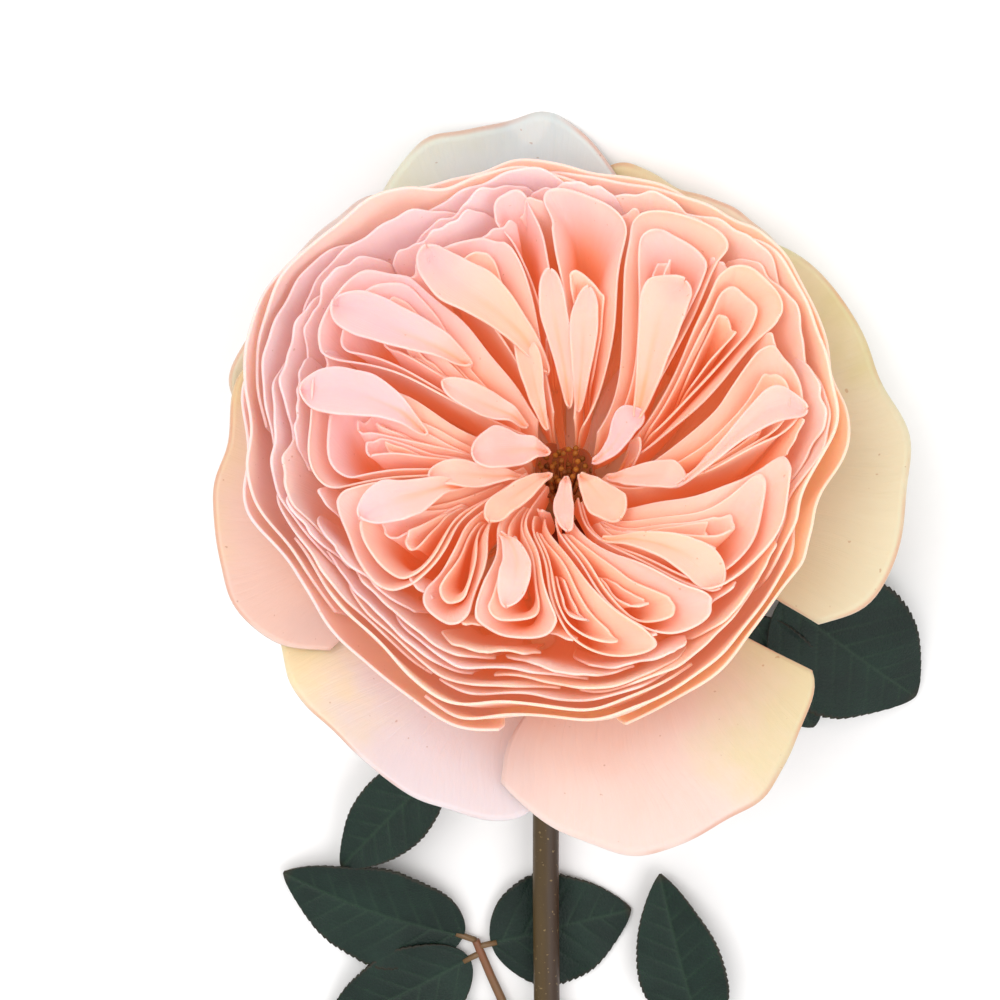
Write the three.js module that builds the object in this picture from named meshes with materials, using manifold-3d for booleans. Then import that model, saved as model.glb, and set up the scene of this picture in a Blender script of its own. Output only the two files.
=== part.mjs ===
// A cut garden rose lying on a surface: a large quartered bloom on a nodding neck, with four leaves.
// Millimetres, +Z up. The stem runs along -Y and the bloom looks up and away from it.
// Every petal is a thin closed solid. The petals share one bloom space, where they can't cross:
// a place is a radius and an angle at rim height, and all places draw in together towards the receptacle.
import * as THREE from "three";
import Module from "manifold-3d";
import { mergeVertices } from "three/addons/utils/BufferGeometryUtils.js";

const { sin, cos, abs, max, min, PI } = Math;
const rad = THREE.MathUtils.degToRad;
const { clamp, lerp, smoothstep } = THREE.MathUtils;

// ---- Driving dimensions -------------------------------------------------------------------------
const BLOOM_TILT = 40; // degrees between the bloom's axis and straight up
const RECEPTACLE_HEIGHT = 24; // from the surface up to where the petals are attached
const RIM_HEIGHT = 40; // from the receptacle's top to the rim of the rosette, along the bloom's axis
const CUP_RADIUS = 49; // mean radius of the cup at its rim
const CUP_SKEW = 4.5; // how much wider the cup is on its wide side
const CUP_WIDE_SIDE = 165; // degrees
const CUP_LOBE = 2; // the cup's rim is a little three-cornered
const EYE_RADIUS = 6; // bare eye in the middle, where the stamens show
const EYE_RIM_HEIGHT = 27; // rim height of the petals at the eye
const CROWN_RADIUS = 30; // from here outwards the petals stand at full rim height
const FAN_CLEARANCE = 1.3; // between the outer petals of two neighbouring fans
const FAN_TO_CUP = CUP_RADIUS / 14; // between a fan's outer end and the cup's middle layer
const FOLD_INSET = CUP_RADIUS / 16.5; // between the sides of two nested folds: wider apart in a wider bloom
const FOLD_DROP = 2.5; // the inner fold's rim is this much lower
const FOLD_LEAST = 3.2; // least width of an inner fold between its margins
const PETAL_THICKNESS = 0.5;
const GUARD_THICKNESS = 0.6;
const CUP_LAYER_GAP = 1.8; // between two layers of the cup
const BASE_SHARE = 0.16; // radius at the receptacle, as a share of the radius at the rim

const HIP_RADIUS = 6.2;
const HIP_LENGTH = 13;
const HIP_CLEARANCE = 0.6; // between the receptacle and the petals above it
const STEM_DIAMETER = 5;
const STEM_LENGTH = 190; // from the neck's foot to the cut end
const NECK_REACH = 22; // how far along the stem the neck's bend runs
const NECK_ASIDE = 2; // how far the neck's foot stands to the left of the bloom's middle
const STEM_LIFT = 4; // how far the stem has risen where the neck begins
const JOINT_GAP = 0.35; // between pieces that touch

const LEAF_THICKNESS = 0.5;
const STALK_DIAMETER = 1.7; // a leaf's stalk
const SEPAL_LENGTH = 24;
const SEPAL_WIDTH = 8;

// ---- Colours ------------------------------------------------------------------------------------
const finish = (color, roughness) => new THREE.MeshStandardMaterial({ color, roughness, metalness: 0 });
const INNER_PETAL = finish(0xf3b08c, 0.55);
const CUP_PETAL = finish(0xf5bfa4, 0.55);
const GUARD_PETAL = finish(0xf0dccb, 0.6);
const STAMEN = finish(0xa8702a, 0.7);
const STEM_SKIN = finish(0x6f5a35, 0.5);
const GREEN_SKIN = finish(0x4f6b3c, 0.5);
const LEAF = finish(0x1f3d31, 0.5);

// ---- Thin solids --------------------------------------------------------------------------------
const part = (name, geometry, material) => {
  const mesh = new THREE.Mesh(geometry, material);
  mesh.name = name;
  return mesh;
};

// A closed thin solid round the sheet pointAt(u, v), u from -1 to 1 and v from 0 to 1.
// Its two faces meet in a sharp edge all round, as a petal's do.
function thinSolid(pointAt, across, along, thickness) {
  const vertices = [];
  const add = (p) => vertices.push(p.x, p.y, p.z) / 3 - 1;
  const step = 1e-3;
  const front = [];
  const back = [];
  for (let j = 0; j <= along; j++) {
    for (let i = 0; i <= across; i++) {
      const u = (2 * i) / across - 1;
      const v = j / along;
      const p = pointAt(u, v);
      const onEdge = i === 0 || j === 0 || i === across || j === along;
      if (onEdge) {
        front.push(add(p));
        back.push(front.at(-1));
        continue;
      }
      const du = pointAt(u + step, v).sub(pointAt(u - step, v));
      const dv = pointAt(u, v + step).sub(pointAt(u, v - step));
      const normal = du.cross(dv).setLength(thickness / 2);
      front.push(add(p.clone().add(normal)));
      back.push(add(p.clone().sub(normal)));
    }
  }
  const triangles = [];
  const row = across + 1;
  for (let j = 0; j < along; j++) {
    for (let i = 0; i < across; i++) {
      const a = j * row + i;
      const corners = [a, a + 1, a + row + 1, a + row];
      // The diagonal of a corner cell runs to the sheet's own corner, so that no face is flat double.
      const other = (i === 0 && j === 0) || (i === across - 1 && j === along - 1);
      const split = other ? [0, 1, 2, 0, 2, 3] : [0, 1, 3, 1, 2, 3];
      for (let k = 0; k < 6; k += 3) {
        const [p, q, r] = [0, 1, 2].map((n) => corners[split[k + n]]);
        triangles.push(front[p], front[q], front[r]);
        triangles.push(back[p], back[r], back[q]);
      }
    }
  }
  const geometry = new THREE.BufferGeometry();
  geometry.setAttribute("position", new THREE.Float32BufferAttribute(vertices, 3));
  geometry.setIndex(triangles);
  return geometry;
}

// ---- Bloom space --------------------------------------------------------------------------------
const cupRadius = (angle) =>
  CUP_RADIUS + CUP_SKEW * cos(rad(angle - CUP_WIDE_SIDE)) + CUP_LOBE * cos(3 * rad(angle - 30));

// Share of its rim radius that a place has at this height: a deep bowl that stands nearly upright at the rim.
function spread(height) {
  const below = clamp(1 - height / RIM_HEIGHT, 0, 1);
  return BASE_SHARE + (1 - BASE_SHARE) * (1 - below ** 2.2) ** 0.5;
}

// How far the fans are turned against their outer ends, in degrees: they swirl in towards the eye.
function swirl(radius, angle) {
  const turn = 26 + 20 * cos(rad(angle - 340));
  return -turn * max(0, 1 - radius / (CUP_RADIUS - 9));
}

// Rim height of the rosette: low at the eye, level from the crown outwards.
const rimHeight = (radius) => lerp(EYE_RIM_HEIGHT, RIM_HEIGHT, smoothstep(radius, EYE_RADIUS, CROWN_RADIUS));

// A slow ripple through the whole bloom, which moves neighbours together.
function ripple(p) {
  const { x, y, z } = p;
  p.x += 0.9 * sin(0.19 * y + 0.7) + 0.5 * sin(0.31 * y - 0.12 * z);
  p.y += 0.9 * sin(0.17 * x + 2.1) + 0.5 * sin(0.29 * x + 0.1 * z);
  return p;
}

function bloomPoint(radius, angle, height) {
  const r = radius * spread(height);
  const a = rad(angle + swirl(radius, angle));
  return ripple(new THREE.Vector3(r * cos(a), r * sin(a), height));
}

// Lowest height of a petal's blade: a narrow claw under its midrib, and free margins.
const bladeFoot = (u, rim) => lerp(HIP_CLEARANCE, 0.62 * rim, min(1, 2 * abs(u)));

// ---- Fans of folded petals ----------------------------------------------------------------------
// One fold in a sector from one angle to another: its midrib is at the outer end, and both margins
// come back towards the eye as far as inner. inset is how far its sides stand in from the sector's.
function foldAt(u, v, { from, to, inner, outer, inset = 0, drop = 0 }) {
  const END_PART = 0.45; // the part of the fold that is its round end
  const END_DEPTH = 0.24;
  const t = abs(u);
  const turn = min(1, t / END_PART) * (PI / 2);
  const back = max(0, (t - END_PART) / (1 - END_PART));
  const width = sin(turn) * (1 - 0.2 * back ** 2);
  const radius = lerp(outer - END_DEPTH * (outer - inner) * (1 - cos(turn)), inner, back);
  const rim = rimHeight(radius) - drop;
  const height = lerp(bladeFoot(u, rim), rim, v);
  const open = 0.45 + 0.55 * (height / RIM_HEIGHT) ** 2; // a fold is narrower deep in the bloom
  const side = (FAN_CLEARANCE / 2 + inset) / radius;
  const halfAngle = max(0.02, rad(to - from) / 2 - side);
  const angle = (from + to) / 2 + THREE.MathUtils.radToDeg(Math.sign(u) * width * open * halfAngle);
  return bloomPoint(radius, angle, height);
}

// Each fan: its sector in degrees, and where it begins and ends, in millimetres from the eye in a
// bloom whose cup has this radius. A wider bloom's fans are longer in the same measure.
// A fan marked single is too narrow for an inner fold.
const DRAWN_CUP_RADIUS = 49;
const NARROW_FAN = 23; // degrees: narrower fans' petals need fewer faces
const FANS = [
  { name: "east", from: 0, to: 24, inner: 7.5, outer: 38 },
  { name: "east_north", from: 24, to: 47, inner: 15, outer: 41 },
  { name: "north_east", from: 47, to: 76, inner: 8, outer: 43 },
  { name: "north", from: 76, to: 100, inner: 7.5, outer: 42 },
  { name: "north_west_sliver", from: 100, to: 111, inner: 22, outer: 43, single: true },
  { name: "north_west", from: 111, to: 131, inner: 8, outer: 40 },
  { name: "west_north", from: 131, to: 164, inner: 8.5, outer: 44 },
  { name: "west", from: 164, to: 197, inner: 8, outer: 43 },
  { name: "west_south", from: 197, to: 226, inner: 9, outer: 42 },
  { name: "south_west", from: 226, to: 245, inner: 16, outer: 38, single: true },
  { name: "south", from: 245, to: 274, inner: 8, outer: 38 },
  { name: "south_east", from: 274, to: 295, inner: 14, outer: 40 },
  { name: "east_south", from: 295, to: 317, inner: 8, outer: 39, single: true },
  { name: "east_low", from: 317, to: 358, inner: 9, outer: 39 },
];

// Small single petals near the eye, in front of the fans that begin further out.
const EYE_PETALS = [
  { middle: 35.5, halfSpan: 8, radius: 12.5 },
  { middle: 105.5, halfSpan: 4.5, radius: 19 },
  { middle: 235.5, halfSpan: 7.5, radius: 13 },
  { middle: 284, halfSpan: 7.5, radius: 12.5 },
];

function eyeAt(u, v, { middle, halfSpan, radius }) {
  const rim = rimHeight(radius);
  return bloomPoint(radius, middle + u * halfSpan, lerp(bladeFoot(u, rim), rim - 3 * u * u, v));
}

function fanPetals() {
  const petals = [];
  const add = (name, pointAt, across) => {
    petals.push(part(name, thinSolid(pointAt, across, 4, PETAL_THICKNESS), INNER_PETAL));
  };
  const growth = CUP_RADIUS / DRAWN_CUP_RADIUS;
  for (const { name, single, ...sector } of FANS) {
    const longest = cupRadius((sector.from + sector.to) / 2) - FAN_TO_CUP;
    const fold = { ...sector, inner: sector.inner * growth, outer: min(sector.outer * growth, longest) };
    const columns = fold.to - fold.from < NARROW_FAN ? 12 : 18;
    add(`petal_${name}_outer`, (u, v) => foldAt(u, v, fold), columns);
    if (single) continue;
    // The inner fold starts where the sector is wide enough for it, and stops short of the outer one.
    const room = (2 * FOLD_INSET + FAN_CLEARANCE + FOLD_LEAST) / rad(fold.to - fold.from);
    const inner = max(fold.inner + 3, room);
    const nested = { ...fold, inner, outer: fold.outer - 2 * FOLD_INSET, inset: FOLD_INSET, drop: FOLD_DROP };
    add(`petal_${name}_inner`, (u, v) => foldAt(u, v, nested), columns);
  }
  EYE_PETALS.forEach((petal, i) => add(`petal_eye_${i + 1}`, (u, v) => eyeAt(u, v, petal), 6));
  return petals;
}

// ---- The cup ------------------------------------------------------------------------------------
const CUP_PETALS = 9;
const CUP_LAYERS = 3;
const CUP_HALF_SPAN = 48; // degrees
const CUP_STEP_DOWN = 2.2; // each layer's rim is this much lower than the one inside it

function cupAt(u, v, middle, layer) {
  const angle = middle + u * CUP_HALF_SPAN;
  const rim = RIM_HEIGHT - layer * CUP_STEP_DOWN - 5 * abs(u) ** 3;
  const height = lerp(bladeFoot(u, rim), rim, v);
  return bloomPoint(cupRadius(angle) + (layer - 1) * CUP_LAYER_GAP, angle, height);
}

function cupPetals() {
  return Array.from({ length: CUP_PETALS }, (_, i) => {
    const middle = (360 / CUP_PETALS) * i + 10;
    const solid = thinSolid((u, v) => cupAt(u, v, middle, i % CUP_LAYERS), 12, 5, PETAL_THICKNESS);
    return part(`petal_cup_${i + 1}`, solid, CUP_PETAL);
  });
}

// ---- Guard petals -------------------------------------------------------------------------------
// They spread from under the cup. All of them lie on one skirt round the bloom, in two layers.
const SKIRT_TOP = 24; // the height on the cup's side up to which the skirt follows it
const SKIRT_GAP = 1.2; // between the cup and the skirt
const GUARD_LAYER_GAP = 1.8;
const GUARDS = [
  { name: "east", middle: 18, halfSpan: 43, reach: 58, height: 15, layer: 0 },
  { name: "north_east", middle: 64, halfSpan: 22, reach: 55, height: 23, layer: 1 },
  { name: "north", middle: 101, halfSpan: 27, reach: 65, height: 25.5, layer: 0 },
  { name: "north_west", middle: 140, halfSpan: 27, reach: 59, height: 20, layer: 1 },
  { name: "west", middle: 184, halfSpan: 32, reach: 59, height: 15, layer: 0 },
  { name: "south_west", middle: 235, halfSpan: 30, reach: 56, height: 11, layer: 1 },
  { name: "south_east", middle: 290, halfSpan: 32, reach: 63, height: 6, layer: 0 },
];

// The skirt's edge at an angle passes smoothly from one guard petal's tip to the next one's.
function skirtEdge(angle) {
  const turned = ((((angle - GUARDS[0].middle) % 360) + 360) % 360) + GUARDS[0].middle;
  const after = [...GUARDS, { ...GUARDS[0], middle: GUARDS[0].middle + 360 }];
  const next = after.findIndex((guard, i) => i > 0 && guard.middle >= turned);
  const [a, b] = [after[next - 1], after[next]];
  const share = smoothstep(turned, a.middle, b.middle);
  return { reach: lerp(a.reach, b.reach, share), height: lerp(a.height, b.height, share) };
}

// A place on the skirt, out from the receptacle (0) to its edge (1): along the cup's side, then away.
function skirtPoint(angle, out, layer) {
  const { reach, height } = skirtEdge(angle);
  const side = cupRadius(angle) + 2 * CUP_LAYER_GAP;
  const followed = SKIRT_TOP * out ** 1.8;
  const apart = SKIRT_GAP + layer * GUARD_LAYER_GAP * lerp(0.5, 1, smoothstep(out, 0, 0.3));
  const flare = (reach - side * spread(SKIRT_TOP)) * out ** 3;
  const fall = (SKIRT_TOP - height) * out ** 3;
  const r = side * spread(followed) + flare + apart * 0.7;
  const a = rad(angle);
  return ripple(new THREE.Vector3(r * cos(a), r * sin(a), followed - fall - apart));
}

function guardAt(u, v, { middle, halfSpan, layer }) {
  const out = v * (1 - 0.14 * abs(u) ** 2.6);
  return skirtPoint(middle + u * halfSpan * (0.55 + 0.45 * v ** 0.5), out, layer);
}

function guardPetals() {
  return GUARDS.map(({ name, ...guard }) => {
    const solid = thinSolid((u, v) => guardAt(u, v, guard), 10, 6, GUARD_THICKNESS);
    return part(`petal_guard_${name}`, solid, GUARD_PETAL);
  });
}

// ---- Receptacle, sepals and stamens -------------------------------------------------------------
const hipProfile = () =>
  [
    [0, 0],
    [HIP_RADIUS + 1.2, 0],
    [HIP_RADIUS + 1.2, -1.2],
    [HIP_RADIUS - 0.8, -2.4],
    [HIP_RADIUS, -6],
    [HIP_RADIUS - 1.2, -10],
    [STEM_DIAMETER / 2 + 0.4, -HIP_LENGTH],
    [0, -HIP_LENGTH],
  ].map(([r, z]) => new THREE.Vector2(r, z));

function hip() {
  const geometry = new THREE.LatheGeometry(hipProfile().reverse(), 20);
  geometry.rotateX(PI / 2);
  return part("hip", geometry, GREEN_SKIN);
}

function stamens() {
  const top = 19;
  const outline = [
    [0, HIP_CLEARANCE],
    [2.2, HIP_CLEARANCE],
    [1.8, 8],
    [3.4, 14],
    [4.2, top - 1.5],
    [3, top],
    [0, top - 0.6],
  ].map(([r, z]) => new THREE.Vector2(r, z));
  const geometry = new THREE.LatheGeometry(outline, 14);
  geometry.rotateX(PI / 2);
  return part("stamens", geometry, STAMEN);
}

function sepals() {
  return Array.from({ length: 5 }, (_, i) => {
    const middle = rad(i * 72 + 54);
    const out = new THREE.Vector3(cos(middle), sin(middle), 0);
    const side = new THREE.Vector3(-sin(middle), cos(middle), 0);
    const pointAt = (u, v) => {
      const width = (SEPAL_WIDTH / 2) * (1 - v ** 1.5) * (0.75 + 0.6 * sin(PI * min(1, v * 1.6)));
      const r = HIP_RADIUS + JOINT_GAP + 0.6 + SEPAL_LENGTH * v * 0.93;
      const p = out.clone().multiplyScalar(r).addScaledVector(side, u * (width + 0.25));
      p.z = -3.4 - 5 * sin(PI * v * 0.5) + 0.8 * u * u;
      return p;
    };
    return part(`sepal_${i + 1}`, thinSolid(pointAt, 4, 6, LEAF_THICKNESS), GREEN_SKIN);
  });
}

// ---- Stem ---------------------------------------------------------------------------------------
const tilt = rad(BLOOM_TILT);
const bloomAxis = new THREE.Vector3(0, sin(tilt), cos(tilt));
const receptacle = new THREE.Vector3(0, 0, RECEPTACLE_HEIGHT);
const hipFoot = receptacle.clone().addScaledVector(bloomAxis, -HIP_LENGTH - JOINT_GAP);
const neckFoot = new THREE.Vector3(-NECK_ASIDE, hipFoot.y - NECK_REACH, STEM_DIAMETER / 2 + STEM_LIFT);
const cutEnd = new THREE.Vector3(-0.75 * NECK_ASIDE, neckFoot.y - STEM_LENGTH, STEM_DIAMETER / 2);

// The stem's own line, from the receptacle's foot to the cut end.
const stemLine = new THREE.CatmullRomCurve3(
  [
    hipFoot,
    hipFoot.clone().addScaledVector(bloomAxis, -4),
    new THREE.Vector3(-0.55 * NECK_ASIDE, hipFoot.y - 0.55 * NECK_REACH, neckFoot.z + 1.6),
    neckFoot,
    ...[0.25, 0.5, 0.75].map((share) => {
      const p = neckFoot.clone().lerp(cutEnd, share);
      p.x -= 0.5 * sin(PI * 2 * share);
      return p;
    }),
    cutEnd,
  ],
  false,
  "centripetal",
);

const round = (diameter, sides) => {
  const points = Array.from({ length: sides }, (_, i) => {
    const a = (2 * PI * i) / sides;
    return new THREE.Vector2((diameter / 2) * cos(a), (diameter / 2) * sin(a));
  });
  return new THREE.Shape(points);
};

const tube = (curve, diameter, sides, steps) =>
  new THREE.ExtrudeGeometry(round(diameter, sides), { steps, bevelEnabled: false, extrudePath: curve });

const stem = () => part("stem", tube(stemLine, STEM_DIAMETER, 10, 36), STEM_SKIN);

// The place on the stem's line nearest a distance along -Y.
function onStem(y) {
  const found = stemLine.getSpacedPoints(400).reduce((a, b) => (abs(b.y - y) < abs(a.y - y) ? b : a));
  return found.clone();
}

// ---- Leaves -------------------------------------------------------------------------------------
const wasm = await Module();
wasm.setup();

function solidOf(geometry) {
  const bare = new THREE.BufferGeometry().setAttribute("position", geometry.getAttribute("position"));
  if (geometry.index) bare.setIndex(geometry.index);
  const merged = mergeVertices(bare, 1e-3);
  return new wasm.Manifold(
    new wasm.Mesh({
      numProp: 3,
      vertProperties: merged.attributes.position.array,
      triVerts: new Uint32Array(merged.index.array),
    }),
  );
}

function geometryOf(solid) {
  const { vertProperties, triVerts } = solid.getMesh();
  const geometry = new THREE.BufferGeometry();
  geometry.setAttribute("position", new THREE.Float32BufferAttribute(vertProperties, 3));
  geometry.setIndex([...triVerts]);
  return geometry;
}

// A leaflet's blade from its foot to its tip. roll tips it about its midrib, arch lifts its middle.
function blade({ foot, tip, width, roll = 0, arch = 1.5, fold = 0.12 }) {
  const along = tip.clone().sub(foot);
  const length = along.length();
  along.normalize();
  const up = new THREE.Vector3(0, 0, 1);
  const side = new THREE.Vector3().crossVectors(up, along).normalize();
  up.crossVectors(along, side).applyAxisAngle(along, rad(roll));
  side.applyAxisAngle(along, rad(roll));
  const pointAt = (u, v) => {
    const half = (width / 2) * (sin(PI * v ** 0.8) ** 0.75 + 0.06 * (1 - v));
    return foot
      .clone()
      .addScaledVector(along, length * v)
      .addScaledVector(side, u * max(half, 0.25))
      .addScaledVector(up, fold * abs(u) * half + arch * sin(PI * v));
  };
  return thinSolid(pointAt, 6, 7, LEAF_THICKNESS);
}

// One grown leaf: a stalk from the stem, with its leaflets on it. A leaflet's place is the share of
// the stalk's length at its joint, 1 at the stalk's end.
function leaf(name, stalkPoints, leaflets) {
  const stalk = new THREE.CatmullRomCurve3(stalkPoints, false, "centripetal");
  let solid = solidOf(tube(stalk, STALK_DIAMETER, 6, 4 * (stalkPoints.length - 1)));
  for (const { place = 1, ...shape } of leaflets) {
    const joint = stalk.getPointAt(place);
    const foot = joint.clone().add(shape.tip.clone().sub(joint).setLength(2.5));
    const stub = new THREE.LineCurve3(joint, foot.clone().lerp(shape.tip, 0.06));
    solid = solid.add(solidOf(tube(stub, STALK_DIAMETER * 0.8, 6, 1)));
    solid = solid.add(solidOf(blade({ ...shape, foot })));
  }
  return part(name, geometryOf(solid), LEAF);
}

// The point where a leaf's stalk leaves the stem, beside it.
function leafFoot(y, side) {
  const p = onStem(y);
  p.x += side * (STEM_DIAMETER / 2 + STALK_DIAMETER / 2 + JOINT_GAP);
  return p;
}

const at = (x, y, z) => new THREE.Vector3(x, y, z);

function leaves() {
  return [
    leaf("leaf_left", [leafFoot(-134, -1), at(-8.5, -113, 2.4), at(-13, -101, 1.9), at(-15.5, -94.5, 1.8)], [
      { tip: at(-51.5, -80.5, 1.6), width: 21, roll: -8, arch: 2.4 },
      { tip: at(13.8, -88.5, 0.8), width: 23, arch: 0, fold: 0.01, place: 0.95 },
      { tip: at(-44, -113, 1.2), width: 18, place: 0.9 },
      { tip: at(-38, -131, 1), width: 15, place: 0.5 },
      { tip: at(15, -121, 0.8), width: 13, arch: -0.4, fold: 0.01, place: 0.46 },
    ]),
    leaf("leaf_right", [leafFoot(-52, 1), at(18, -36, 9), at(38, -21.5, 8)], [
      { tip: at(65.5, -44.5, 2), width: 27, roll: -6, arch: 2 },
      { tip: at(47, -51, 1.2), width: 15, roll: 6, place: 0.9 },
      { tip: at(52, -4, 2.5), width: 15, place: 0.95 },
    ]),
    leaf("leaf_upper", [leafFoot(-42, -1), at(-14, -47, 9.5), at(-20, -53.5, 10)], [
      { tip: at(-40.5, -78, 4.5), width: 14, roll: 25, arch: 1.5 },
    ]),
    leaf("leaf_low", [leafFoot(-162, 1), at(14, -144, 2.8), at(28, -116, 3.4)], [
      { tip: at(19, -80, 3.4), width: 16.5, roll: -12 },
      { tip: at(56, -124, 1), width: 15, place: 0.93 },
      { tip: at(52, -146, 1), width: 13, place: 0.55 },
    ]),
  ];
}

// ---- The whole rose -----------------------------------------------------------------------------
const bloom = new THREE.Group();
bloom.rotation.x = -tilt;
bloom.position.copy(receptacle);
bloom.add(hip(), stamens(), ...sepals(), ...guardPetals(), ...cupPetals(), ...fanPetals());

const lying = new THREE.Group();
lying.add(bloom, stem(), ...leaves());

// The origin is under the middle of the rose, on the surface that it lies on.
const rose = new THREE.Group();
rose.add(lying);
rose.updateMatrixWorld(true);
const extent = new THREE.Box3().setFromObject(rose, true);
const middle = extent.getCenter(new THREE.Vector3());
lying.position.set(-middle.x, -middle.y, -extent.min.z);

export default rose;
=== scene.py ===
# %% [markdown]
# # A cut garden rose, lying on a pale table
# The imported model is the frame: it gives the rose's place, size and mass. This script grows the rose
# that is seen, petal by petal, in the same place. Sizes in the maker's own numbers are millimetres,
# and become metres only when a mesh is made.

# %% Load the frame
import math
import random

import bpy
import numpy as np
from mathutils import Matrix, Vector


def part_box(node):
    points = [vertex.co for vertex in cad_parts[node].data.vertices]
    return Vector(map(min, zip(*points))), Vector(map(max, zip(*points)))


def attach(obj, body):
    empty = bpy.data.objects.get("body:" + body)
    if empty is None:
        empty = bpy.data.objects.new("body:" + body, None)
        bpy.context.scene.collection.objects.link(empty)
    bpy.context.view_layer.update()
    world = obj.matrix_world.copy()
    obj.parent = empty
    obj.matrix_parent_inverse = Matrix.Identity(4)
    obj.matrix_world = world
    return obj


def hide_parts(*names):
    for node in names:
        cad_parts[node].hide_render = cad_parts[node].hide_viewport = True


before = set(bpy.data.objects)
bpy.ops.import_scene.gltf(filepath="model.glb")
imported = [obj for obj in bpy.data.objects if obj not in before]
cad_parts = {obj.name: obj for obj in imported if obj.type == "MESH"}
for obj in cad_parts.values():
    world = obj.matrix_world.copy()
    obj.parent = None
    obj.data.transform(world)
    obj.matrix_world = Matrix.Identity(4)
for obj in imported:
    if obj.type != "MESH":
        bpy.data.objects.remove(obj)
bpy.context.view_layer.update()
MM = 0.001
print("frame nodes:", len(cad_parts))

# %% [markdown]
# ## Where the bloom sits
# The hip under the bloom is turned round the bloom's axis, and its flat top is where the petals are
# attached. Its box therefore gives that point: its middle in X, and its rim's far edge in Y and Z.
# Everything else is measured from the table below that point.

# %% The receptacle and the bloom's axis
BLOOM_TILT = math.radians(40)  # between the bloom's axis and straight up
HIP_RIM = 7.4
hip_low, hip_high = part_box("hip")
receptacle = Vector((
    (hip_low.x + hip_high.x) / 2,
    hip_high.y - HIP_RIM * MM * math.cos(BLOOM_TILT),
    hip_high.z - HIP_RIM * MM * math.sin(BLOOM_TILT),
))
RECEPTACLE_HEIGHT = 24
under_bloom = receptacle - Vector((0, 0, RECEPTACLE_HEIGHT * MM))
print("receptacle at", tuple(round(c, 4) for c in receptacle))


def in_bloom(points):
    """Bloom places (across, away, along the axis) in mm, as places on the table in metres."""
    x, y, z = points[..., 0], points[..., 1], points[..., 2]
    c, s = math.cos(BLOOM_TILT), math.sin(BLOOM_TILT)
    turned = np.stack([x, y * c + z * s, z * c - y * s], -1)
    return turned * MM + np.array(receptacle)


def on_table(points):
    """Places in mm from the spot under the bloom, in metres."""
    return np.asarray(points, float) * MM + np.array(under_bloom)


# %% [markdown]
# ## Camera
# The rose lies down, so the camera looks down on it, a little past the vertical, almost along the
# bloom's axis. That keeps the bloom's face turned to the viewer, with the stem running out below it.

# %% The camera
eye = bpy.data.cameras.new("camera")
camera = bpy.data.objects.new("camera", eye)
bpy.context.scene.collection.objects.link(camera)
camera.location = Vector(on_table((-10.9, 219.8, 622.5)))
camera.rotation_euler = (math.radians(-20), 0, 0)
eye.lens = 131.8
eye.sensor_width = 36
eye.clip_end = 10
bpy.context.scene.camera = camera

# %% [markdown]
# ## Writing shaders as sums
# A finish is easier to read as arithmetic than as a web of nodes. Wire stands for one socket, and its
# operators add Math nodes. Finish holds one material, and its add method makes any other node.


# %% Wire: arithmetic on sockets
class Wire:
    def __init__(self, finish, socket):
        self.finish = finish
        self.socket = socket

    def math(self, operation, *values):
        return self.finish.add("ShaderNodeMath", {"operation": operation}, *values)

    def __add__(self, other):
        return self.math("ADD", self, other)

    def __sub__(self, other):
        return self.math("SUBTRACT", self, other)

    def __rsub__(self, other):
        return self.math("SUBTRACT", other, self)

    def __mul__(self, other):
        return self.math("MULTIPLY", self, other)

    __radd__ = __add__
    __rmul__ = __mul__

    def rise(self, low, high):
        """0 up to low, 1 from high, and smooth between them."""
        settings = {"interpolation_type": "SMOOTHSTEP"}
        return self.finish.add("ShaderNodeMapRange", settings, self, low, high)

    def size(self):
        """Without its sign."""
        return self.math("ABSOLUTE", self)


# %% Finish: one material
def linear(hue):
    """A colour written as six hex digits, in the renderer's own light."""
    parts = [int(hue[i:i + 2], 16) / 255 for i in (0, 2, 4)]
    return tuple(p / 12.92 if p <= 0.04045 else ((p + 0.055) / 1.055) ** 2.4 for p in parts) + (1,)


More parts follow.
